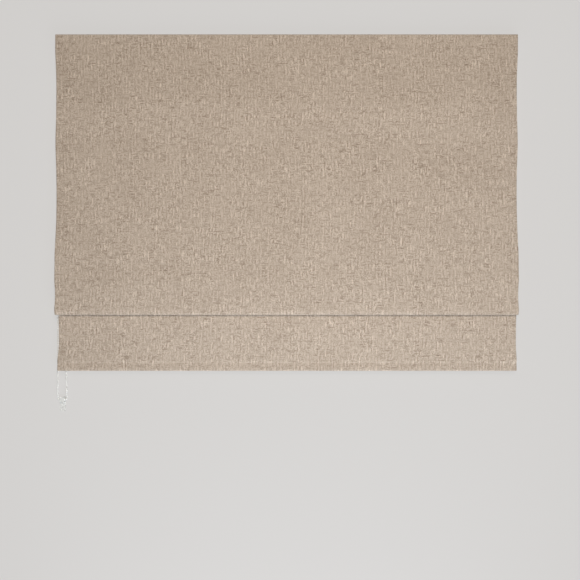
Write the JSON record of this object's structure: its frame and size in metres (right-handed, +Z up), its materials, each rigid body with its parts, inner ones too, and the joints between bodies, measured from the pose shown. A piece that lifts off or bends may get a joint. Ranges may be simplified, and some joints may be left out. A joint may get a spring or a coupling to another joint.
{
  "type": "roman blind",
  "caption": "Wall-fixed roman blind of linen-look cloth with a gathered lower fold, headrail, lift cords, fold rods, bottom bar and a side bead chain drive.",
  "frame": {"origin": "on the wall plane, midway between the middle bracket's two screw holes", "axes": "+X along the headrail, to the right seen from the room; +Y into the wall; +Z up"},
  "size_m": [1.2064, 0.0545, 0.9829],
  "materials": {
    "face_fabric": "slubbed linen-look weave",
    "lining": "plain woven sateen",
    "tape": "hook and loop pile",
    "lift_cord": "braided",
    "rod": "smooth glass-fibre rod",
    "headrail_metal": "satin white coating",
    "bracket_steel": "zinc plated",
    "shaft_steel": "drawn",
    "bar_metal": "mill finish",
    "white_plastic": "moulded",
    "chain_plastic": "moulded beads",
    "clear_plastic": "milky translucent moulding"
  },
  "bodies": {
    "headrail": {"headrail": "headrail_metal", "bracket_left": "bracket_steel", "bracket_middle": "bracket_steel", "bracket_right": "bracket_steel", "hook_tape": "tape", "loop_tape": "tape", "face_fabric": "face_fabric", "lining": "lining", "spool_cradle_1": "white_plastic", "spool_cradle_2": "white_plastic", "spool_cradle_3": "white_plastic", "spool_cradle_4": "white_plastic", "lift_cord_1": "lift_cord", "lift_cord_2": "lift_cord", "lift_cord_3": "lift_cord", "lift_cord_4": "lift_cord", "control_housing": "white_plastic", "control_cover": "white_plastic", "clutch_spring": "shaft_steel", "end_cap_right": "white_plastic", "bead_chain": "chain_plastic", "chain_joiner": "chain_plastic", "chain_clip": "clear_plastic"},
    "drive": {"drive_shaft": "shaft_steel", "chain_wheel": "white_plastic", "clutch_driver": "white_plastic", "shaft_bush": "white_plastic", "cord_spool_1": "white_plastic", "cord_spool_2": "white_plastic", "cord_spool_3": "white_plastic", "cord_spool_4": "white_plastic", "wound_cord_1": "lift_cord", "wound_cord_2": "lift_cord", "wound_cord_3": "lift_cord", "wound_cord_4": "lift_cord"},
    "upper_rod": {"upper_rod": "rod", "upper_pocket": "lining", "upper_guides": "clear_plastic"},
    "middle_rod": {"middle_rod": "rod", "middle_pocket": "lining", "middle_guides": "clear_plastic"},
    "lower_rod": {"lower_rod": "rod", "lower_pocket": "lining", "cord_anchors": "clear_plastic", "bottom_bar": "bar_metal"}
  },
  "joints": [
    {"name": "upper_lift", "type": "slide", "parent": "headrail", "child": "upper_rod", "axis": [0, 0.03, 0.9996], "range_m": [0, 0.2001], "deforming": ["face_fabric", "lining", "lift_cord_1", "lift_cord_2", "lift_cord_3", "lift_cord_4"]},
    {"name": "middle_lift", "type": "slide", "parent": "upper_rod", "child": "middle_rod", "axis": [0, 0.062, 0.9981], "range_m": [0, 0.2906], "deforming": ["face_fabric", "lining", "lift_cord_1", "lift_cord_2", "lift_cord_3", "lift_cord_4"]},
    {"name": "lower_lift", "type": "slide", "parent": "middle_rod", "child": "lower_rod", "axis": [0, 0, 1], "range_m": [-0.27, 0], "deforming": ["face_fabric", "lining", "lift_cord_1", "lift_cord_2", "lift_cord_3", "lift_cord_4"]},
    {"name": "drive_turn", "type": "hinge", "parent": "headrail", "child": "drive", "pos_m": [0, -0.024, 0], "axis": [-1, 0, 0], "range_deg": [-1983.8, 0], "deforming": ["bead_chain"]}
  ],
  "couplings": [
    {"joint": "drive_turn", "follows": "lower_lift", "rad_per_m": 128.21}
  ]
}
